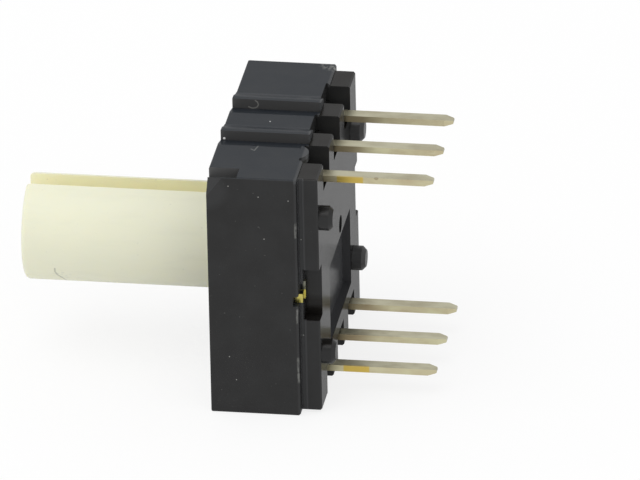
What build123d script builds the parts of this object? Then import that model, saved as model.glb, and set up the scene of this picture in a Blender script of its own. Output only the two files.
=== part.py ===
from build123d import *
from math import atan2, cos, degrees, hypot, radians, sin
import os

# Rotary coded switch for a circuit board, lying on one long side.
# X runs along the shaft: the board's face is X = 0, the pins point to +X and the shaft to -X.
# Z is up, and the shaft's axis is the line Y = Z = 0. All sizes are in millimetres.

# Circuit-board footprint
pin_pitch = 2.54
pin_row_spacing = 7.62
pins_per_row = 3
pin_width = 0.50
pin_thickness = 0.24
pin_reach = 3.43
standoff_height = 0.50

# Housing, split into a cover at the front and a base at the board
cover_depth = 3.28
cover_wall = 0.69
pin_cover = 0.80
front_wall = 0.80
base_side_step = 0.33
base_top_step = 0.10
base_plate = 0.74
plug_depth = 0.70
plug_clearance = 0.03
corner_round = 0.08
front_round = 0.06
cavity_round = 0.45

# Moulded ridges that run along the cover's top, and the short third step at the front
ridge_pitch = 2.72
first_ridge_face = 1.25
ridge_count = 2
ridge_rise = 0.18
ridge_crest = 0.16
ridge_slope = 0.75
groove_sink = 0.20
groove_ramp = 0.80
front_step_length = 1.12
front_step_sink = 0.41
corner_cut = (0.60, 0.70, 0.80)

# Comb of notches where the pins leave, in both parts
notch_width = 1.48
notch_floor_gap = 0.14
cover_notch_depth = 0.14
tongue_place = -2.60
tongue_radius = 0.60
tongue_reach = 0.12
tongue_thickness = 0.30

# Side windows in the base, and its back face
window_height = 2.02
window_sink = 0.60
window_rim = 0.615
relief_width = 0.14
relief_sink = 0.06
relief_offset = 0.04
back_recess_low = -3.00
back_recess_high = 0.00
back_recess_near = -2.30
back_recess_far = 2.66
back_recess_sink = 0.30
ejector_mark_place = (0.45, 0.44)
ejector_mark_radius = 0.33
ejector_mark_sink = 0.16
post_radius = 0.455
post_chamfer = 0.14
post_places = ((-4.15, 2.90), (-4.15, -2.45), (3.45, 2.85), (3.20, -2.25))

# Rotor: shaft, journal, detent flange and pivot
shaft_radius = 1.95
shaft_length = 7.40
journal_radius = 2.35
journal_proud = 0.05
shaft_end_round = 0.14
shaft_slot_width = 0.90
shaft_slot_depth = 1.00
running_clearance = 0.05
thrust_clearance = 0.04
rim_clearance = 0.12
flange_thickness = 0.90
pivot_radius = 0.70
pivot_engagement = 0.60
positions = 16
scallop_radius = 0.50
scallop_sink = 0.22

# Code disc and the brushes that ride on it
disc_thickness = 0.12
disc_inner_radius = 1.10
disc_rim = 0.34
common_track_radius = 1.40
first_track_radius = 1.95
track_step = 0.45
track_width = 0.34
window_margin_angle = 1.5
brush_thickness = 0.08
brush_width = 0.28
brush_gap = 0.02
brush_foot = 0.35
brush_tip = 0.28
brush_tip_drop = 0.20
brush_tip_round = 0.20

# Terminal strips inside the base
pad_width = 0.72
pad_end = 2.75
brush_foot_place = 3.15
bend_radius = 0.26
tip_length = 0.32
tip_width_cut = 0.12
tip_thickness_cut = 0.06

# Detent springs beside the rotor
spring_thickness = 0.12
spring_width = 0.70
spring_room = 0.38
spring_foot = 0.70
spring_arm_rise = 0.26
spring_arm_angle = 9.8
nose_round = 0.30
nose_gap = 0.01
nose_angle = 45
foot_round = 0.50
tail_low = -0.30
tail_high = 0.40
tail_end = 1.06
lug_high = 0.04
lug_front = 1.41
slot_clearance = 0.02

# Outlines that follow from the pins' rows and the rotor
pin_row = pin_row_spacing / 2
cover_height = pin_row_spacing + pin_thickness + 2 * pin_cover
cavity_half_height = cover_height / 2 - cover_wall
flange_radius = cavity_half_height - rim_clearance
cavity_half_width = flange_radius + spring_room
cover_width = 2 * (cavity_half_width + cover_wall)
base_width = cover_width - 2 * base_side_step
base_height = cover_height - 2 * base_top_step
disc_outer_radius = flange_radius - disc_rim
spring_arm_radius = flange_radius + spring_arm_rise

# Planes along X, counted from the board's face
base_back = -standoff_height
parting = base_back - base_plate
cover_front = parting - cover_depth
cavity_front = cover_front + front_wall
plug_front = parting - plug_depth
flange_front = cavity_front + thrust_clearance
flange_back = flange_front + flange_thickness
pivot_end = plug_front + pivot_engagement
notch_floor = pin_row - pin_thickness / 2 - notch_floor_gap
notch_front = parting - cover_notch_depth
window_front = base_back - window_rim
step_angle = 360 / positions
pin_places = [(i - (pins_per_row - 1) / 2) * pin_pitch for i in range(pins_per_row)]


def block(x, y, z):
    """Box between the low and high values given for each axis."""
    size = [abs(b - a) for a, b in (x, y, z)]
    middle = [(a + b) / 2 for a, b in (x, y, z)]
    return Pos(*middle) * Box(*size)


def rod(start, end, radius):
    """Round bar on the shaft's axis."""
    return Pos((start + end) / 2, 0, 0) * Rot(0, 90, 0) * Cylinder(radius, abs(end - start))


def slab(face, start, end):
    """Outline drawn in Y and Z, thickened from one X to another."""
    return extrude(Plane.YZ.offset(start) * face, end - start)


def rounded_block(x, width, height, radius):
    """Block centred on the shaft's axis, with the edges along X rounded."""
    return slab(RectangleRounded(width, height, radius), *x)


# Cover

def ridge_profile(face, rise, crest, slope, level):
    """Ridge in section: an eased back, a flat crest and a steep face towards -Y."""
    foot = (face + crest + slope, level)
    top = (face + crest, level + rise)
    lines = [
        Spline(foot, top, tangents=((-1, 0), (-1, 0))),
        Polyline(top, (face, level + rise), (face, level - rise), (foot[0], level - rise), foot),
    ]
    return make_face(lines)


def groove_profile(face, sink, ramp, level):
    """Groove in section: straight down at a steep face, and back up to the top along a ramp."""
    return make_face(Polyline((face, level - sink), (face - ramp, level), (face, level + sink), close=True))


def pin_notches(front, back, floor, roof):
    """The six spaces round the pins, as solids to cut away."""
    spaces = []
    for y in pin_places:
        for side in (-1, 1):
            across = (y - notch_width / 2, y + notch_width / 2)
            spaces.append(block((front, back), across, (side * floor, side * roof)))
    return spaces


def make_tongue(top):
    """Rounded tongue on the cover's rear edge, over the near notch."""
    centre = parting + tongue_reach - tongue_radius
    disc = Pos(centre, tongue_place, top - tongue_thickness / 2) * Cylinder(tongue_radius, tongue_thickness)
    return disc & block((notch_front - corner_round, parting + tongue_reach), (-cover_width, cover_width),
                        (top - tongue_thickness, top))


def make_corner_cut(top, side):
    """Block that cuts the near top front corner off aslant. corner_cut has its reach along X, Y and Z."""
    x, y, z = corner_cut
    plane = Plane(origin=(cover_front + x, -side, top), z_dir=(-1 / x, -1 / y, 1 / z))
    return plane * Pos(0, 0, cover_depth / 2) * Box(cover_depth, cover_depth, cover_depth)


def make_cover():
    top = cover_height / 2
    side = cover_width / 2
    body = rounded_block((cover_front, parting), cover_width, cover_height, corner_round)
    body = fillet(body.faces().sort_by(Axis.X)[0].edges(), front_round)
    body = chamfer(body.faces().sort_by(Axis.X)[-1].edges(), relief_sink)
    for i in range(ridge_count):
        face = first_ridge_face - i * ridge_pitch
        body += slab(ridge_profile(face, ridge_rise, ridge_crest, ridge_slope, top), cover_front, parting)
        body -= slab(groove_profile(face, groove_sink, groove_ramp, top), cover_front, parting)
    step_face = first_ridge_face - ridge_count * ridge_pitch
    step = groove_profile(step_face, front_step_sink, side + step_face, top)
    body -= slab(step, cover_front, cover_front + front_step_length)
    body -= make_corner_cut(top, side)
    body -= rounded_block((cavity_front, parting), 2 * cavity_half_width, 2 * cavity_half_height, cavity_round)
    body -= rod(cover_front, cavity_front, journal_radius + running_clearance)
    for space in pin_notches(notch_front, parting, cavity_half_height - cover_wall / 2, cover_height):
        body -= space
    for face in (-1, 1):
        body -= block((parting, -lug_front - slot_clearance), (0, face * cover_width),
                      (tail_low - slot_clearance, lug_high + slot_clearance))
    return body + make_tongue(top)


# Base

def make_posts():
    bars = []
    for y, z in post_places:
        bar = Rot(0, 90, 0) * Cylinder(post_radius, standoff_height)
        bar = chamfer(bar.faces().sort_by(Axis.X)[-1].edges(), post_chamfer)
        bars.append(Pos(-standoff_height / 2, y, z) * bar)
    return bars


def make_side_spaces(face):
    """Window, relief line and spring slot in one side of the base."""
    side = face * base_width / 2
    outside = face * cover_width
    window = block((window_front, base_back), (side - face * window_sink, outside),
                   (-window_height / 2, window_height / 2))
    relief_start = parting + relief_offset
    relief = block((relief_start, relief_start + relief_width), (side - face * relief_sink, outside),
                   (-base_height, base_height))
    inner = face * (cavity_half_width - spring_thickness - slot_clearance)
    slot = block((plug_front, window_front), (inner, outside),
                 (tail_low - slot_clearance, tail_high + slot_clearance))
    return [window, relief, slot]


def make_base(metal):
    body = rounded_block((parting, base_back), base_width, base_height, corner_round)
    body = chamfer(body.faces().sort_by(Axis.X)[-1].edges(), relief_sink)
    width = 2 * (cavity_half_width - plug_clearance)
    height = 2 * (cavity_half_height - plug_clearance)
    body += rounded_block((plug_front, parting), width, height, cavity_round)
    for space in pin_notches(notch_front, 0, notch_floor, base_height):
        body -= space
    for face in (-1, 1):
        for space in make_side_spaces(face):
            body -= space
    body -= block((base_back - back_recess_sink, base_back), (back_recess_near, back_recess_far),
                  (back_recess_low, back_recess_high))
    body -= rod(plug_front, pivot_end + thrust_clearance, pivot_radius + running_clearance)
    body -= rod(base_back - ejector_mark_sink, base_back, ejector_mark_radius).moved(Pos(0, *ejector_mark_place))
    for post in make_posts():
        body += post
    for piece in metal:
        body -= piece
    return body


# Terminals and brushes

def pulled_in(end, neighbour, distance):
    """The point that lies the given distance from an end, on the way to its neighbour."""
    share = distance / hypot(neighbour[0] - end[0], neighbour[1] - end[1])
    return tuple(e + (n - e) * share for e, n in zip(end, neighbour))


def strip(points, radii, thickness, width):
    """Bent strip: a centre line in local X and Y, thickened, and as wide as given along local Z."""
    first = pulled_in(points[0], points[1], thickness / 2)
    last = pulled_in(points[-1], points[-2], thickness / 2)
    line = FilletPolyline(first, *points[1:-1], last, radius=radii)
    outline = offset(line, thickness / 2, side=Side.BOTH, kind=Kind.INTERSECTION)
    return extrude(make_face(outline.edges()), width / 2, both=True)


def tip_cuts(y, row):
    """Four wedges that narrow a pin to its tip."""
    cuts = []
    start = pin_reach - tip_length
    for way in (-1, 1):
        edge = way * pin_width / 2
        wedge = Polyline((start, edge), (pin_reach, edge - way * tip_width_cut), (pin_reach, edge), close=True)
        cuts.append(Pos(0, y, row - pin_thickness) * extrude(make_face(wedge), 2 * pin_thickness))
        edge = way * pin_thickness / 2
        wedge = Polyline((start, edge), (pin_reach, edge - way * tip_thickness_cut), (pin_reach, edge), close=True)
        flat = Rot(90, 0, 0) * extrude(make_face(wedge), pin_width, both=True)
        cuts.append(Pos(0, y, row) * flat)
    return cuts


def make_terminal(y, side):
    """One stamped strip: pin, square bend and pad. side is 1 for the upper row, -1 for the lower."""
    pad_level = plug_front + pin_thickness / 2
    points = [(pin_reach, side * pin_row), (pad_level, side * pin_row), (pad_level, side * pad_end)]
    pin = Pos(0, y, 0) * Rot(90, 0, 0) * strip(points, bend_radius, pin_thickness, pin_width)
    inner = pin_row - pin_thickness / 2 - bend_radius
    pin += block((plug_front, plug_front + pin_thickness), (y - pad_width / 2, y + pad_width / 2),
                 (side * pad_end, side * inner))
    for cut in tip_cuts(y, side * pin_row):
        pin -= cut
    return pin


def make_brush(y, side, radius, angle):
    """Contact finger from a terminal's pad to a track of the code disc."""
    foot = (y, side * brush_foot_place)
    tip = (radius * cos(radians(angle)), radius * sin(radians(angle)))
    reach = hypot(tip[0] - foot[0], tip[1] - foot[1])
    heading = degrees(atan2(tip[1] - foot[1], tip[0] - foot[0]))
    low = brush_thickness / 2
    high = plug_front - flange_back - brush_gap - brush_thickness / 2
    points = [(-brush_foot, low), (brush_foot, low), (reach, high), (reach + brush_tip, high - brush_tip_drop)]
    bent = strip(points, brush_tip_round, brush_thickness, brush_width)
    seat = Plane(origin=(plug_front, *foot), x_dir=(0, cos(radians(heading)), sin(radians(heading))),
                 z_dir=(0, -sin(radians(heading)), cos(radians(heading))))
    return seat * bent


# Rotor

def make_scallops():
    cuts = []
    centre = flange_radius - scallop_sink + scallop_radius
    for i in range(positions):
        angle = radians(i * step_angle)
        face = Pos(centre * cos(angle), centre * sin(angle)) * Circle(scallop_radius)
        cuts.append(slab(face, flange_front, flange_back))
    return cuts


def make_rotor(disc):
    shaft_end = cover_front - shaft_length
    journal_front = cover_front - journal_proud
    shaft = rod(shaft_end, journal_front, shaft_radius)
    shaft = fillet(shaft.faces().sort_by(Axis.X)[0].edges(), shaft_end_round)
    shaft -= block((shaft_end, journal_front), (-shaft_slot_width / 2, shaft_slot_width / 2),
                   (shaft_radius - shaft_slot_depth, 2 * shaft_radius))
    journal = rod(journal_front, flange_front, journal_radius)
    flange = rod(flange_front, flange_back, flange_radius)
    for cut in make_scallops():
        flange -= cut
    pivot = rod(flange_back, pivot_end, pivot_radius)
    pivot = chamfer(pivot.faces().sort_by(Axis.X)[-1].edges(), running_clearance * 2)
    return shaft + journal + flange + pivot - disc


def sector(radius, width, start, end):
    """Part of a ring, between two angles."""
    inner = radius - width / 2
    outer = radius + width / 2
    a, b = radians(start), radians(end)
    lines = [
        CenterArc((0, 0), outer, start, end - start),
        Line((outer * cos(b), outer * sin(b)), (inner * cos(b), inner * sin(b))),
        CenterArc((0, 0), inner, start, end - start),
        Line((inner * cos(a), inner * sin(a)), (outer * cos(a), outer * sin(a))),
    ]
    return make_face(lines)


def track_radius(bit):
    return first_track_radius + bit * track_step


def make_code_disc(brush_angles):
    """Stamped plate with a window wherever a bit is off. Bit b is off for 2**b positions, then on."""
    face = Circle(disc_outer_radius) - Circle(disc_inner_radius)
    for bit, brush_angle in enumerate(brush_angles):
        run = 2 ** bit
        for first in range(0, positions, 2 * run):
            start = brush_angle + (first - 0.5) * step_angle + window_margin_angle
            end = brush_angle + (first + run - 0.5) * step_angle - window_margin_angle
            face -= sector(track_radius(bit), track_width, start, end)
    return slab(face, flange_back - disc_thickness, flange_back)


# Detent springs

def make_detent_spring(face):
    """Bow spring against one side wall, with two noses in the rotor's scallops and a tail to the window."""
    wall = cavity_half_width - spring_thickness / 2
    seat_radius = flange_radius - scallop_sink + nose_gap + spring_thickness / 2
    spread = spring_arm_radius * sin(radians(spring_arm_angle))
    depth = spring_arm_radius * cos(radians(spring_arm_angle)) - seat_radius
    lean = atan2(depth, spread)
    nose_radius = seat_radius - nose_round * (1 / cos(lean) - 1)

    def polar(radius, angle):
        return (radius * cos(radians(angle)), radius * sin(radians(angle)))

    arm = [
        (wall, spring_foot),
        polar(spring_arm_radius, nose_angle - spring_arm_angle),
        polar(nose_radius, nose_angle),
        polar(spring_arm_radius, nose_angle + spring_arm_angle),
    ]
    points = [(y, -z) for y, z in reversed(arm)] + arm
    rounds = [nose_round, nose_round, foot_round, foot_round, nose_round, nose_round]
    centre = (flange_front + flange_back) / 2
    bow = strip(points, rounds, spring_thickness, spring_width)
    bow = Plane.YZ.offset(centre) * bow
    sheet = (wall - spring_thickness / 2, wall + spring_thickness / 2)
    bow += block((centre, -tail_end), sheet, (tail_low, tail_high))
    bow += block((-lug_front, window_front), (sheet[0], base_width / 2), (tail_low, lug_high))
    if face < 0:
        bow = mirror(bow, Plane.XZ)
    return bow


# Which terminal carries which brush: name, pin place, row and track radius
near, middle, far = pin_places
terminals = [
    ("common_upper", middle, 1, common_track_radius),
    ("common_lower", middle, -1, common_track_radius),
    ("code_1", near, -1, track_radius(0)),
    ("code_2", near, 1, track_radius(1)),
    ("code_4", far, -1, track_radius(2)),
    ("code_8", far, 1, track_radius(3)),
]


def brush_angle(y, side):
    """Angle round the shaft where a terminal's brush meets its track, from +Y."""
    swing = radians(step_angle)
    return degrees(atan2(side * sin(swing), cos(swing) * y / pin_pitch))


nodes = {}
for name, y, side, radius in terminals:
    nodes["terminal_" + name] = make_terminal(y, side)
metal = list(nodes.values())
for name, y, side, radius in terminals:
    nodes["brush_" + name] = make_brush(y, side, radius, brush_angle(y, side))
code_angles = [brush_angle(y, side) for name, y, side, radius in terminals if name.startswith("code")]
nodes["cover"] = make_cover()
nodes["base"] = make_base(metal)
nodes["code_disc"] = make_code_disc(code_angles)
nodes["rotor"] = make_rotor(nodes["code_disc"])
nodes["detent_spring_near"] = make_detent_spring(-1)
nodes["detent_spring_far"] = make_detent_spring(1)

os.makedirs("parts", exist_ok=True)
for name, solid in nodes.items():
    export_step(solid, "parts/" + name + ".step")
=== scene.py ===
"""Looks for the rotary coded switch: materials, dust, floor, light and camera.

Lengths in Blender are in metres. Places on the part are written in millimetres, in the CAD's
frame, and a pair of places is where a soft edge begins and where it ends.
"""

import math

import bpy
from mathutils import Matrix, Vector


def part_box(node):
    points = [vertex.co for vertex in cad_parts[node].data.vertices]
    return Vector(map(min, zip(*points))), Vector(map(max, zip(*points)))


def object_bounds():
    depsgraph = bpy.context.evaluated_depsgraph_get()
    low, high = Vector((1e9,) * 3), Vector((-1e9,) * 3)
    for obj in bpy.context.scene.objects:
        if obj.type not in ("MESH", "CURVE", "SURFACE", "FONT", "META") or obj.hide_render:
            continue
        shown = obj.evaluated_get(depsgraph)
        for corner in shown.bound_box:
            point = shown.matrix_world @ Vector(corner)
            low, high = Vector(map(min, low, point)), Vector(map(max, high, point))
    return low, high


MM = 0.001
ALONG_XY = (1.0, 1.0, 0.0)
ALONG_XZ = (1.0, 0.0, 1.0)
ALONG_YZ = (0.0, 1.0, 1.0)

# Camera, at the photograph's viewing angle and scale
IMAGE_WIDTH = 640
FOCAL_PIXELS = 15349.3
SENSOR_WIDTH = 36.0
CAMERA_DISTANCE = 558.754 * MM
CAMERA_AZIMUTH = math.radians(9.201)
CAMERA_ELEVATION = math.radians(25.841)
CAMERA_ROLL = math.radians(-1.232)
CAMERA_CLIP = (0.01, 10.0)
AIM = Vector((-0.40, 0, 0)) * MM
AIM_RIGHT = -0.7847 * MM
AIM_UP = 0.0097 * MM

# Light and floor
WORLD_LEVEL = 0.80
LAMP_SIZE = 0.30
KEY_PLACE = (-0.12, -0.10, 0.34)
KEY_POWER = 0.48
FILL_PLACE = (0.30, -0.25, 0.12)
FILL_POWER = 0.16
FLOOR_SIZE = 3.0
FLOOR_PALE = (0.92, 0.92, 0.92)
FLOOR_GLOW = 0.80

# Colours, linear
BLACK = (0.0200, 0.0200, 0.0202)
# Painted cool reflection on black faces that look up
BLACK_PAINTED_UP_REFLECTION = (0.0172, 0.0208, 0.0260)
# Worn black, also used as painted light on the base and painted shade on the springs
BLACK_WORN_AND_PAINTED_LIGHT = (0.040, 0.041, 0.042)
# Deepest black: painted shade in the base's windows and on its faces that look up
BLACK_DEEP = (0.008, 0.007, 0.006)
# Lighter black for edges: wear with a painted highlight
BLACK_EDGE = (0.070, 0.072, 0.075)
# Painted light for the far posts and the back recess, which lie in shade
POST_PAINTED_LIGHT = (0.048, 0.048, 0.049)
RECESS_PAINTED_LIGHT = (0.056, 0.057, 0.061)
DUST = (0.30, 0.30, 0.28)
IVORY = (0.78, 0.782, 0.62)
# Deeper ivory: a tone in the clouds, and painted light inside the slot
IVORY_DEEP = (0.92, 0.89, 0.64)
IVORY_GREY = (0.55, 0.56, 0.48)
TIN = (0.45, 0.43, 0.31)
TIN_DULL = (0.36, 0.33, 0.23)
# Lighter tin for the pins' sides, as painted light; TIN_SIDE also colours streaks on the tops
TIN_SIDE = (0.58, 0.55, 0.36)
TIN_WARM = (0.50, 0.43, 0.28)
TIN_PALE = (0.68, 0.66, 0.50)
# Dark tin: painted shade at the pins' roots, and the colour of a dark spot
TIN_ROOT = (0.25, 0.19, 0.11)
PATCH = (0.58, 0.42, 0.09)
GOLD = (0.80, 0.56, 0.10)
SPRING = (0.60, 0.53, 0.14)
SPRING_DULL = (0.46, 0.40, 0.12)
# Painted shade on the springs' ends that show at the sides
SPRING_PAINTED_SHADE = (0.20, 0.20, 0.16)
WHITE = (1.0, 1.0, 1.0)

# Finish of the black plastic: weight of its shiny skin, and the skin's roughness on each part
SKIN = 0.37
COVER_SKIN_ROUGHNESS = 0.30
BASE_SKIN_ROUGHNESS = 0.17

# Places on the cover: its top, its rear edge as a share of the base's depth, its grooves' upright
# faces with their greys of painted light, worn edges with a painted highlight, dust specks and
# curls of lint
COVER_TOP = 4.60
COVER_REAR_SHARE = 0.36
RIDGE_FOOT = (4.15, 4.20)
GROOVE_FACES_PAINTED_LIGHT = ((1.25, 0.062), (-1.47, 0.060), (-4.19, 0.100))
WEAR_DEPTH = 0.10
EDGE_SCUFFS = ((2.73, 0.26), (-0.72, 0.24), (-2.67, 0.26), (-3.20, 0.17))
CORNER_REACH = 0.75
RUBBED_LEVEL = 4.15
RUBBED_REACH = 0.85
NEAR_SPECKS = (
    (-3.70, 4.39), (-2.61, 4.01), (-1.52, 3.91), (-2.43, 2.34), (-3.80, -2.46), (-3.56, -3.38))
TOP_SPECKS = ((-2.91, -0.15), (-4.43, -1.62))
SPECK_RADIUS = 0.028
LEDGE_SPECK = (-4.39, -1.47, 4.60)
LEDGE_SPECK_RADIUS = 0.055
LINT_CURL = (
    (-3.67, 4.87), (-3.59, 4.81), (-3.56, 4.71), (-3.60, 4.62), (-3.69, 4.57), (-3.80, 4.56),
    (-3.92, 4.61))
CURL_FACE = (1.22, 1.27)
LINT_HOOK = ((-3.01, -2.20), (-3.10, -2.63), (-3.24, -2.52))
LINT_WIDTH = 0.028

# Places on the base: its parting line, the windows' shade, back recess, posts and dust specks
PARTING_LINE = (-1.03, -0.98)
WINDOW_DEPTH = (0.30, 0.62, 0.64, 0.66)
WINDOW_SHADE = (-1.10, -0.45)
RECESS_X = (-0.82, -0.52)
RECESS_Y = (-2.32, 2.68)
RECESS_Z = (-3.02, 0.02)
POST_START = (-0.49, -0.47)
POST_SIDE = (0.0, 0.1)
BASE_SPECKS = ((-1.08, -0.77), (-1.13, -1.64), (-1.14, 2.20))

# Places on the shaft: its slot, the end at the cover, a smudge and a scratch
SLOT_EDGE = (0.452, 0.47)
SLOT_FLOOR = (0.90, 0.94)
SHAFT_FOOT = (-6.5, -4.4)
SMUDGE = (-10.50, -1.50, -1.25)
SMUDGE_RADIUS = 0.42
SCRATCH = ((-10.72, -0.86), (-10.73, -1.03), (-10.66, -1.22), (-10.53, -1.38), (-10.42, -1.64))
SCRATCH_WIDTH = 0.045
SCRATCH_SIDE = (-0.6, -0.5)

# Places on the pins: painted shade at the roots, bare brass and a dark spot
PIN_ROOT = (-0.50, 0.10)
ROOT_SIDE = (-1.5, -1.0)
PATCH_PIN = -2.80
PATCH_RADIUS = 0.16
GOLD_PATCHES = ((-0.06, 0.86, 3.81), (0.04, 0.95, -3.81))
PIN_SPOT = (1.36, -2.79, 3.93)
PIN_SPOT_RADIUS = 0.10

# Places on the springs' ends that show at the sides
SPRING_SHOWS = (4.22, 4.25)
TAIL_START = (0.05, 0.06)
TAIL_EDGE = (-1.17, -1.15)
LUG_FRONT = (-1.35, -1.31)


def blend(low, high, share):
    """Colour between two others."""
    return tuple(a + (b - a) * share for a, b in zip(low, high))


class Shader:
    """A material being built from nodes, around one Principled surface."""

    def __init__(self, name):
        self.material = bpy.data.materials.new(name)
        self.material.use_nodes = True
        self.tree = self.material.node_tree
        self.surface = self.tree.nodes["Principled BSDF"]
        self.place = self.node("ShaderNodeTexCoord").outputs["Object"]
        split = self.node("ShaderNodeSeparateXYZ")
        self.tree.links.new(self.place, split.inputs[0])
        self.x, self.y, self.z = split.outputs

    def node(self, kind, **settings):
        made = self.tree.nodes.new(kind)
        for key, value in settings.items():
            setattr(made, key, value)
        return made

    def plug(self, socket, value):
        """Links an output to a socket, or writes a constant on it."""
        if isinstance(value, bpy.types.NodeSocket):
            self.tree.links.new(value, socket)
        elif isinstance(value, tuple) and len(value) == 3 and socket.type == "RGBA":
            socket.default_value = (*value, 1.0)
        else:
            socket.default_value = value

    def math(self, operation, a, b=0.0):
        made = self.node("ShaderNodeMath", operation=operation)
        self.plug(made.inputs[0], a)
        self.plug(made.inputs[1], b)
        return made.outputs[0]

    def vector(self, operation, a, b):
        made = self.node("ShaderNodeVectorMath", operation=operation)
        self.plug(made.inputs[0], a)
        self.plug(made.inputs[1], b)
        return made.outputs["Value"] if operation == "DOT_PRODUCT" else made.outputs[0]

    def length(self, value):
        made = self.node("ShaderNodeVectorMath", operation="LENGTH")
        self.plug(made.inputs[0], value)
        return made.outputs["Value"]

    def noise(self, size, detail=3.0, stretch=(1.0, 1.0, 1.0)):
        """Noise from 0 to 1 with features of about the given size, longer along stretched axes."""
        scaled = self.vector("MULTIPLY", self.place, tuple(1.0 / (size * s) for s in stretch))
        made = self.node("ShaderNodeTexNoise")
        self.plug(made.inputs["Vector"], scaled)
        made.inputs["Scale"].default_value = 1.0
        made.inputs["Detail"].default_value = detail
        return made.outputs["Fac"]

    def ramp(self, value, low, high, start=0.0, end=1.0):
        """Value taken from low..high to start..end, held at both ends."""
        made = self.node("ShaderNodeMapRange", clamp=True)
        inputs = ("Value", "From Min", "From Max", "To Min", "To Max")
        for key, number in zip(inputs, (value, low, high, start, end)):
            self.plug(made.inputs[key], number)
        return made.outputs["Result"]

    def fade(self, value, low, high):
        """1 up to low, easing to 0 at high."""
        return self.ramp(value, low, high, 1.0, 0.0)

    def times(self, mask, strength):
        return self.math("MULTIPLY", mask, strength)

    def mix(self, share, a, b):
        made = self.node("ShaderNodeMix", data_type="RGBA")
        self.plug(made.inputs[0], share)
        self.plug(made.inputs[6], a)
        self.plug(made.inputs[7], b)
        return made.outputs[2]

    def band(self, value, low, high, soft):
        """1 between low and high, easing to 0 over soft on either side."""
        return self.times(self.ramp(value, low - soft, low), self.fade(value, high, high + soft))

    def all_of(self, *masks):
        result = masks[0]
        for mask in masks[1:]:
            result = self.times(result, mask)
        return result

    def any_of(self, *masks):
        result = masks[0]
        for mask in masks[1:]:
            result = self.math("MAXIMUM", result, mask)
        return result

    def distance(self, centre, axes=(1.0, 1.0, 1.0)):
        """Distance from a point, counted only along the axes given as 1."""
        offset = self.vector("SUBTRACT", self.place, tuple(centre))
        return self.length(self.vector("MULTIPLY", offset, tuple(axes)))

    def spot(self, centre, radius, axes=(1.0, 1.0, 1.0)):
        return self.fade(self.distance(centre, axes), 0.6 * radius, radius)

    def stroke(self, start, end, width, axes):
        """Thin straight mark between two points, counted only along the axes given as 1."""
        a, along = Vector(start), Vector(end) - Vector(start)
        offset = self.vector("MULTIPLY", self.vector("SUBTRACT", self.place, tuple(a)), axes)
        share = self.vector("DOT_PRODUCT", offset, tuple(along / along.length_squared))
        share = self.math("MINIMUM", self.math("MAXIMUM", share, 0.0), 1.0)
        nearest = self.node("ShaderNodeVectorMath", operation="SCALE")
        self.plug(nearest.inputs[0], tuple(along))
        self.plug(nearest.inputs["Scale"], share)
        away = self.length(self.vector("SUBTRACT", offset, nearest.outputs[0]))
        return self.fade(away, 0.4 * width, width)

    def curl(self, points, width, axes):
        """Thin bent mark through a row of points."""
        return self.any_of(*[self.stroke(a, b, width, axes) for a, b in zip(points, points[1:])])

    def facing(self, axis):
        """How far the surface faces along an axis, from -1 to 1."""
        split = self.node("ShaderNodeSeparateXYZ")
        self.tree.links.new(self.node("ShaderNodeNewGeometry").outputs["Normal"], split.inputs[0])
        return split.outputs["xyz".index(axis)]

    def bump(self, height, depth):
        made = self.node("ShaderNodeBump")
        made.inputs["Distance"].default_value = depth
        self.plug(made.inputs["Height"], height)
        self.plug(self.surface.inputs["Normal"], made.outputs["Normal"])
        self.plug(self.surface.inputs["Coat Normal"], made.outputs["Normal"])

    def set(self, **values):
        """Sets the surface's inputs, named with underscores for spaces."""
        for key, value in values.items():
            self.plug(self.surface.inputs[key.replace("_", " ")], value)


def millimetres(*values):
    return tuple(value * MM for value in values)


def flat_points(points):
    """Points given as X and Z, on the plane Y = 0."""
    return [millimetres(x, 0, z) for x, z in points]


def level_points(points):
    """Points given as X and Y, on the plane Z = 0."""
    return [millimetres(x, y, 0) for x, y in points]


def near_specks(s, near, softness, places):
    """Masks of the side towards the camera, whose plane is near, and of the specks on it."""
    on_near = s.fade(s.y, near + softness[0] * MM, near + softness[1] * MM)
    specks = [s.spot(point, SPECK_RADIUS * MM, ALONG_XZ) for point in flat_points(places)]
    return on_near, s.all_of(on_near, s.any_of(*specks))


# Materials

def black_moulding(name, painted_up_tone, skin_roughness, marks):
    """Moulded black plastic: a dull body under a thin skin, with a fine grain and a little dust.

    Faces that look up take a tone painted for how light falls on tops, and marks gives the further
    masks and their colours.
    """
    s = Shader(name)
    mottle = s.noise(0.9 * MM, 4.0)
    grain = s.noise(0.035 * MM, 2.0)
    drag = s.noise(0.10 * MM, 3.0, stretch=(6.0, 1.0, 1.0))
    # Painted light: faces that look up are toned for how light falls on them
    up = s.ramp(s.facing("z"), 0.4, 0.9)
    black_with_painted_up_tone = s.mix(up, BLACK, painted_up_tone)
    colour = s.mix(s.ramp(mottle, 0.35, 0.70, 0.0, 0.20), black_with_painted_up_tone, BLACK_WORN_AND_PAINTED_LIGHT)
    dust = s.ramp(s.noise(0.11 * MM, 1.0), 0.775, 0.80)
    colour = s.mix(s.times(dust, 0.10), colour, DUST)
    for mask, tint in marks(s):
        colour = s.mix(mask, colour, tint)
    drawn = s.ramp(drag, 0.3, 0.7, 0.0, 0.06)
    rough = s.math("ADD", s.ramp(mottle, 0.3, 0.7, 0.42, 0.54), drawn)
    s.set(Base_Color=colour, Roughness=rough, Specular_IOR_Level=0.0)
    s.set(Coat_Weight=SKIN, Coat_Roughness=skin_roughness)
    s.bump(s.math("ADD", grain, s.times(drag, 0.35)), 0.004 * MM)
    return s.material


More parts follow.
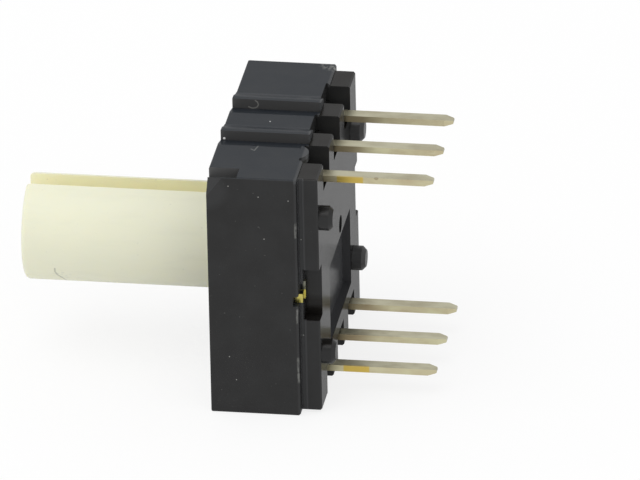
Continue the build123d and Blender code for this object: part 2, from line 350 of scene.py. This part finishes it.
def cover_marks(s):
    """Painted light on the grooves' upright faces, scuffed edges with a painted highlight, dust
    specks and curls of lint on the cover, each with its colour.
    """
    low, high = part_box("cover")
    base_low, base_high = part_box("base")
    near, top = low[1], COVER_TOP * MM
    rear = base_low[0] + (base_high[0] - base_low[0]) * COVER_REAR_SHARE
    on_top = s.ramp(s.z, top - 0.03 * MM, top)
    wear = s.ramp(s.noise(0.22 * MM, 3.0, stretch=(0.5, 1.0, 1.8)), 0.45, 0.60)

    # Lighter lines along the rear edge: wear in part, and in part a painted highlight
    edge = s.ramp(s.x, rear - WEAR_DEPTH * MM, rear - 0.04 * MM)
    near_edge = s.all_of(edge, s.ramp(s.y, near + WEAR_DEPTH * MM, near + 0.02 * MM))
    scuffs = [s.band(s.z, (level - half) * MM, (level + half) * MM, 0.08 * MM)
              for level, half in EDGE_SCUFFS]
    scuffed = s.all_of(near_edge, wear, s.any_of(*scuffs))
    corner = s.all_of(s.spot((rear, high[1], high[2]), CORNER_REACH * MM),
                      s.ramp(s.noise(0.14 * MM, 3.0), 0.45, 0.60))
    front = s.ramp(s.x, low[0] + WEAR_DEPTH * MM, low[0] + 0.05 * MM)
    rubbed = s.spot((low[0], near, RUBBED_LEVEL * MM), RUBBED_REACH * MM)

    # Painted light: the grooves' upright faces take lighter greys that brighten the shade of the
    # grooves
    foot_low, foot_high = millimetres(*RIDGE_FOOT)
    upright = s.all_of(s.fade(s.facing("y"), -0.9, -0.6), s.ramp(s.z, foot_low, foot_high))
    faces = []
    for place, grey in GROOVE_FACES_PAINTED_LIGHT:
        on_face = s.band(s.y, (place - 0.02) * MM, (place + 0.02) * MM, 0.02 * MM)
        faces.append((s.all_of(upright, on_face), (grey, grey, grey)))

    _, specks = near_specks(s, near, (0.02, 0.05), NEAR_SPECKS)
    grains = [s.spot(point, SPECK_RADIUS * MM, ALONG_XY) for point in level_points(TOP_SPECKS)]
    ledge = s.spot(millimetres(*LEDGE_SPECK), LEDGE_SPECK_RADIUS * MM)
    curl = s.all_of(s.curl(flat_points(LINT_CURL), LINT_WIDTH * MM, ALONG_XZ),
                    s.band(s.y, *millimetres(*CURL_FACE), 0.01 * MM))
    hook = s.curl(level_points(LINT_HOOK), LINT_WIDTH * MM, ALONG_XY)
    return faces + [
        # Rear edge lines on the top and down the near side: wear with a painted highlight
        (s.times(s.all_of(edge, on_top), 0.70), BLACK_EDGE),
        (s.times(near_edge, 0.22), BLACK_EDGE),
        (s.times(scuffed, 0.65), blend(BLACK_WORN_AND_PAINTED_LIGHT, DUST, 0.75)),
        (s.times(corner, 0.60), DUST),
        (s.times(rubbed, 0.45), BLACK_WORN_AND_PAINTED_LIGHT),
        (s.times(s.all_of(front, wear), 0.20), BLACK_WORN_AND_PAINTED_LIGHT),
        (s.times(specks, 0.8), DUST),
        (s.times(s.all_of(on_top, s.any_of(*grains)), 0.9), WHITE),
        (s.times(curl, 0.60), DUST),
        (s.times(ledge, 0.9), WHITE),
        (s.times(s.all_of(on_top, hook), 0.40), DUST),
    ]


def base_marks(s):
    """Paler parting line with a painted highlight, painted light in the back recess and on the far
    posts, painted deep shade in the windows, and a patchy painted sheen on faces towards the board.
    """
    low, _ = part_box("base")
    near = low[1]
    on_near, specks = near_specks(s, near, (0.08, 0.11), BASE_SPECKS)
    # Paler parting line: worn flash with a painted edge highlight
    parting = s.all_of(on_near, s.fade(s.x, *millimetres(*PARTING_LINE)))

    start, full, fall, end = (near + depth * MM for depth in WINDOW_DEPTH)
    in_window = s.all_of(s.ramp(s.y, start, full), s.fade(s.y, fall, end))
    # Painted deep shade in the windows
    shaded = s.all_of(in_window, s.band(s.z, *millimetres(*WINDOW_SHADE), 0.25 * MM))

    # Painted light in the back recess, which lies in shade
    in_recess = s.all_of(*[s.band(value, *millimetres(*reach), 0.01 * MM)
                           for value, reach in ((s.y, RECESS_Y), (s.z, RECESS_Z), (s.x, RECESS_X))])
    # Painted light on the far posts, which lie in shade
    posts = s.all_of(s.ramp(s.x, *millimetres(*POST_START)), s.ramp(s.y, *millimetres(*POST_SIDE)))
    # Patchy painted sheen on faces towards the board, standing in for light that grazes them
    sheen_patches = s.ramp(s.noise(1.6 * MM, 3.0), 0.35, 0.75)
    to_board = s.ramp(s.facing("x"), 0.5, 0.9)
    return [
        (s.times(parting, 0.45), BLACK_EDGE),
        (shaded, BLACK_DEEP),
        (s.times(in_recess, 0.8), RECESS_PAINTED_LIGHT),
        (posts, POST_PAINTED_LIGHT),
        (s.times(s.all_of(sheen_patches, to_board), 0.5), BLACK_WORN_AND_PAINTED_LIGHT),
        (s.times(specks, 0.8), DUST),
    ]


def ivory_moulding(name):
    """Ivory nylon: a little light goes in, the slot is painted a deeper yellow for light bounced
    inside it, painted shade darkens the end at the cover, and handling has left it dirty.
    """
    s = Shader(name)
    clouds = s.noise(2.2 * MM, 3.0)
    fine = s.noise(0.06 * MM, 3.0)
    flow = s.noise(0.35 * MM, 3.0, stretch=(5.0, 1.0, 1.0))
    colour = s.mix(s.ramp(clouds, 0.35, 0.70), IVORY, blend(IVORY, IVORY_DEEP, 0.12))
    flow_share = s.ramp(flow, 0.55, 0.75, 0.0, 0.25)
    colour = s.mix(flow_share, colour, blend(IVORY, IVORY_GREY, 0.35))

    # Painted light: the slot is a deeper yellow, standing in for light bounced inside it
    across = s.fade(s.math("ABSOLUTE", s.y), *millimetres(*SLOT_EDGE))
    in_slot = s.all_of(across, s.ramp(s.z, *millimetres(*SLOT_FLOOR)))
    colour = s.mix(s.times(in_slot, 0.85), colour, IVORY_DEEP)
    # Painted shade on the shaft towards the end at the cover
    foot = s.ramp(s.x, *millimetres(*SHAFT_FOOT))
    colour = s.mix(s.times(foot, 0.16), colour, IVORY_GREY)

    smudge = s.all_of(s.spot(millimetres(*SMUDGE), SMUDGE_RADIUS * MM),
                      s.ramp(s.noise(0.12 * MM, 3.0), 0.50, 0.62))
    colour = s.mix(s.times(smudge, 0.35), colour, IVORY_GREY)
    scratch = s.all_of(s.curl(flat_points(SCRATCH), SCRATCH_WIDTH * MM, ALONG_XZ),
                       s.fade(s.y, *millimetres(*SCRATCH_SIDE)))
    colour = s.mix(s.times(scratch, 0.6), colour, blend(IVORY_GREY, BLACK_WORN_AND_PAINTED_LIGHT, 0.4))
    dirt = s.ramp(s.noise(0.16 * MM, 2.0), 0.72, 0.78, 0.0, 0.35)
    colour = s.mix(dirt, colour, IVORY_GREY)

    rough = s.ramp(clouds, 0.3, 0.7, 0.42, 0.55)
    s.set(Base_Color=colour, Roughness=rough, Specular_IOR_Level=0.35)
    s.set(Subsurface_Weight=0.25, Subsurface_Scale=0.4 * MM, Subsurface_Radius=(1.0, 0.85, 0.45))
    s.bump(s.math("ADD", fine, s.times(flow, 1.5)), 0.003 * MM)
    return s.material


def tin_plate(name):
    """Tinned pins: drawn along X, dull in places, with sides painted lighter than the tops and
    painted shade at the root, with bare brass on two.
    """
    s = Shader(name)
    streaks = s.noise(0.08 * MM, 3.0, stretch=(9.0, 1.0, 1.0))
    clouds = s.noise(0.55 * MM, 3.0, stretch=(1.8, 1.0, 1.0))
    # Painted light: sides that face along Y take lighter copies of the tin colours
    upright = s.ramp(s.math("ABSOLUTE", s.facing("y")), 0.5, 0.9)
    light = s.mix(upright, TIN, TIN_SIDE)
    colour = s.mix(s.ramp(clouds, 0.38, 0.68), light, s.mix(upright, TIN_DULL, TIN_WARM))
    streak_share = s.ramp(streaks, 0.58, 0.75, 0.0, 0.3)
    colour = s.mix(streak_share, colour, s.mix(upright, TIN_SIDE, TIN_PALE))

    # Painted shade on the sides near the root, beside the base
    root = s.all_of(upright, s.band(s.x, *millimetres(*PIN_ROOT), 0.90 * MM),
                    s.ramp(s.y, *millimetres(*ROOT_SIDE)))
    colour = s.mix(s.times(root, 0.7), colour, TIN_ROOT)
    patches = []
    for start, end, row in GOLD_PATCHES:
        length = s.band(s.x, start * MM, end * MM, 0.04 * MM)
        level = s.spot(millimetres(0, PATCH_PIN, row), PATCH_RADIUS * MM, ALONG_YZ)
        patches.append(s.all_of(length, level, s.ramp(clouds, 0.25, 0.40, 0.7, 1.0)))
    colour = s.mix(s.times(s.any_of(*patches), 0.95), colour, PATCH)
    dark_spot = s.spot(millimetres(*PIN_SPOT), PIN_SPOT_RADIUS * MM)
    colour = s.mix(s.times(dark_spot, 0.6), colour, TIN_ROOT)

    s.set(Base_Color=colour, Metallic=1.0, Roughness=s.ramp(clouds, 0.3, 0.7, 0.30, 0.46))
    s.bump(streaks, 0.004 * MM)
    return s.material


def bright_brass(name, light, dark, marks=None):
    """Rolled brass with fine lines along the strip, and extra marks where given."""
    s = Shader(name)
    lines = s.noise(0.05 * MM, 3.0, stretch=(1.0, 1.0, 8.0))
    clouds = s.noise(0.5 * MM, 3.0)
    colour = s.mix(s.ramp(clouds, 0.35, 0.70), light, dark)
    for mask, tint in marks(s) if marks else []:
        colour = s.mix(mask, colour, tint)
    s.set(Base_Color=colour, Metallic=1.0, Roughness=s.ramp(lines, 0.3, 0.7, 0.24, 0.38))
    s.bump(lines, 0.002 * MM)
    return s.material


def spring_marks(s):
    """Painted shade on the ends that show at the sides: a grey tail and grey up-facing faces, a
    black edge on the tail, and a darker front on the lug.
    """
    outside = s.ramp(s.math("ABSOLUTE", s.y), *millimetres(*SPRING_SHOWS))
    tail = s.all_of(outside, s.ramp(s.z, *millimetres(*TAIL_START)))
    flat = s.all_of(outside, s.ramp(s.facing("z"), 0.6, 0.9))
    lug = s.all_of(outside, s.fade(s.z, *millimetres(*TAIL_START)))
    # All of these are painted shade on the tail and lug in the side windows
    return [
        (s.any_of(tail, flat), SPRING_PAINTED_SHADE),
        (s.all_of(tail, s.fade(s.x, *millimetres(*TAIL_EDGE))), BLACK_WORN_AND_PAINTED_LIGHT),
        (s.all_of(lug, s.fade(s.x, *millimetres(*LUG_FRONT))), blend(BLACK_WORN_AND_PAINTED_LIGHT, SPRING_DULL, 0.5)),
    ]


def dress(frame):
    """Gives each CAD node the material that its name calls for."""
    gold = bright_brass("gold_contact", GOLD, SPRING)
    materials = {
        # The cover's faces that look up take a painted cool reflection
        "cover": black_moulding(
            "black_cover_moulding", BLACK_PAINTED_UP_REFLECTION, COVER_SKIN_ROUGHNESS, cover_marks),
        # The base's faces that look up take painted shade in the deepest black
        "base": black_moulding(
            "black_base_moulding", BLACK_DEEP, BASE_SKIN_ROUGHNESS, base_marks),
        "rotor": ivory_moulding("ivory_moulding"),
        "terminal": tin_plate("tinned_brass"),
        "brush": gold,
        "code_disc": gold,
        "detent_spring": bright_brass("spring_brass", SPRING, SPRING_DULL, spring_marks),
    }
    for name, node in frame["nodes"].items():
        for start, material in materials.items():
            if name.startswith(start):
                node.data.materials.clear()
                node.data.materials.append(material)


# Surroundings

def white_to_camera(tree, shader, lit):
    """Shows plain white to the camera and in reflections, and the lit shader to everything else."""
    path = tree.nodes.new("ShaderNodeLightPath")
    seen = tree.nodes.new("ShaderNodeMath")
    seen.operation = "MAXIMUM"
    tree.links.new(path.outputs["Is Camera Ray"], seen.inputs[0])
    glossy = tree.nodes.new("ShaderNodeMath")
    glossy.operation = "MAXIMUM"
    tree.links.new(path.outputs["Is Glossy Ray"], glossy.inputs[0])
    tree.links.new(path.outputs["Is Transmission Ray"], glossy.inputs[1])
    tree.links.new(glossy.outputs[0], seen.inputs[1])
    mix = tree.nodes.new("ShaderNodeMixShader")
    tree.links.new(seen.outputs[0], mix.inputs[0])
    tree.links.new(lit.outputs[0], mix.inputs[1])
    tree.links.new(shader.outputs[0], mix.inputs[2])
    return mix


def make_floor(level):
    """Large pale floor: mostly white of its own, and lit enough to keep the part's shadow."""
    half = FLOOR_SIZE / 2
    outline = ((-half, -half), (half, -half), (half, half), (-half, half))
    mesh = bpy.data.meshes.new("floor")
    mesh.from_pydata([(x, y, level) for x, y in outline], [], [(0, 1, 2, 3)])
    floor = bpy.data.objects.new("floor", mesh)
    bpy.context.scene.collection.objects.link(floor)
    material = bpy.data.materials.new("pale_floor")
    material.use_nodes = True
    tree = material.node_tree
    tree.nodes.clear()
    lit = tree.nodes.new("ShaderNodeBsdfDiffuse")
    lit.inputs["Color"].default_value = (*FLOOR_PALE, 1.0)
    glow = tree.nodes.new("ShaderNodeEmission")
    glow.inputs["Strength"].default_value = 1.0
    soft = tree.nodes.new("ShaderNodeMixShader")
    soft.inputs[0].default_value = FLOOR_GLOW
    tree.links.new(lit.outputs[0], soft.inputs[1])
    tree.links.new(glow.outputs[0], soft.inputs[2])
    mix = white_to_camera(tree, soft, lit)
    output = tree.nodes.new("ShaderNodeOutputMaterial")
    tree.links.new(mix.outputs[0], output.inputs["Surface"])
    mesh.materials.append(material)


def make_world():
    """Plain white surroundings that light the part evenly."""
    world = bpy.data.worlds.new("studio")
    world.use_nodes = True
    tree = world.node_tree
    tree.nodes.clear()
    lit = tree.nodes.new("ShaderNodeBackground")
    lit.inputs["Color"].default_value = (*WHITE, 1.0)
    lit.inputs["Strength"].default_value = WORLD_LEVEL
    white = tree.nodes.new("ShaderNodeBackground")
    white.inputs["Color"].default_value = (*WHITE, 1.0)
    white.inputs["Strength"].default_value = 1.0
    mix = white_to_camera(tree, white, lit)
    output = tree.nodes.new("ShaderNodeOutputWorld")
    tree.links.new(mix.outputs[0], output.inputs["Surface"])
    bpy.context.scene.world = world


def area_light(name, place, power):
    """Square lamp that looks at the part."""
    data = bpy.data.lights.new(name, "AREA")
    data.shape = "SQUARE"
    data.size = LAMP_SIZE
    data.energy = power
    lamp = bpy.data.objects.new(name, data)
    lamp.location = place
    lamp.rotation_euler = (-Vector(place)).to_track_quat("-Z", "Y").to_euler()
    bpy.context.scene.collection.objects.link(lamp)


def make_camera():
    """Long lens, turned and rolled as the photograph was taken."""
    sin_a, cos_a = math.sin(CAMERA_AZIMUTH), math.cos(CAMERA_AZIMUTH)
    sin_e, cos_e = math.sin(CAMERA_ELEVATION), math.cos(CAMERA_ELEVATION)
    back = Vector((sin_a * cos_e, -cos_a * cos_e, sin_e))
    level_right = Vector((cos_a, sin_a, 0.0))
    level_up = back.cross(level_right)
    right = math.cos(CAMERA_ROLL) * level_right + math.sin(CAMERA_ROLL) * level_up
    up = back.cross(right)
    place = AIM + right * AIM_RIGHT + up * AIM_UP + back * CAMERA_DISTANCE
    data = bpy.data.cameras.new("camera")
    data.sensor_width = SENSOR_WIDTH
    data.sensor_fit = "HORIZONTAL"
    data.lens = FOCAL_PIXELS / IMAGE_WIDTH * SENSOR_WIDTH
    data.clip_start, data.clip_end = CAMERA_CLIP
    camera = bpy.data.objects.new("camera", data)
    turn = Matrix((right, up, back)).transposed().to_4x4()
    camera.matrix_world = Matrix.Translation(place) @ turn
    bpy.context.scene.collection.objects.link(camera)
    bpy.context.scene.camera = camera


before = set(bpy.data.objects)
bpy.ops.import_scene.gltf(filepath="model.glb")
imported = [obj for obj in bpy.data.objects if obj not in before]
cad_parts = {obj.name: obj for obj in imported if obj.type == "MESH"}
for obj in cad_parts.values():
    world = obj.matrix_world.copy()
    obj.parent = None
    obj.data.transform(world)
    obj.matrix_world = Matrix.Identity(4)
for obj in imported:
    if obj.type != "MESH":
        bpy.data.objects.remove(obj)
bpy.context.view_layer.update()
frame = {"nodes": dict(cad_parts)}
dress(frame)
lowest_corner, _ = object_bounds()
make_floor(lowest_corner[2])
make_world()
area_light("key", KEY_PLACE, KEY_POWER)
area_light("fill", FILL_PLACE, FILL_POWER)
make_camera()
bpy.context.scene.view_settings.view_transform = "Standard"
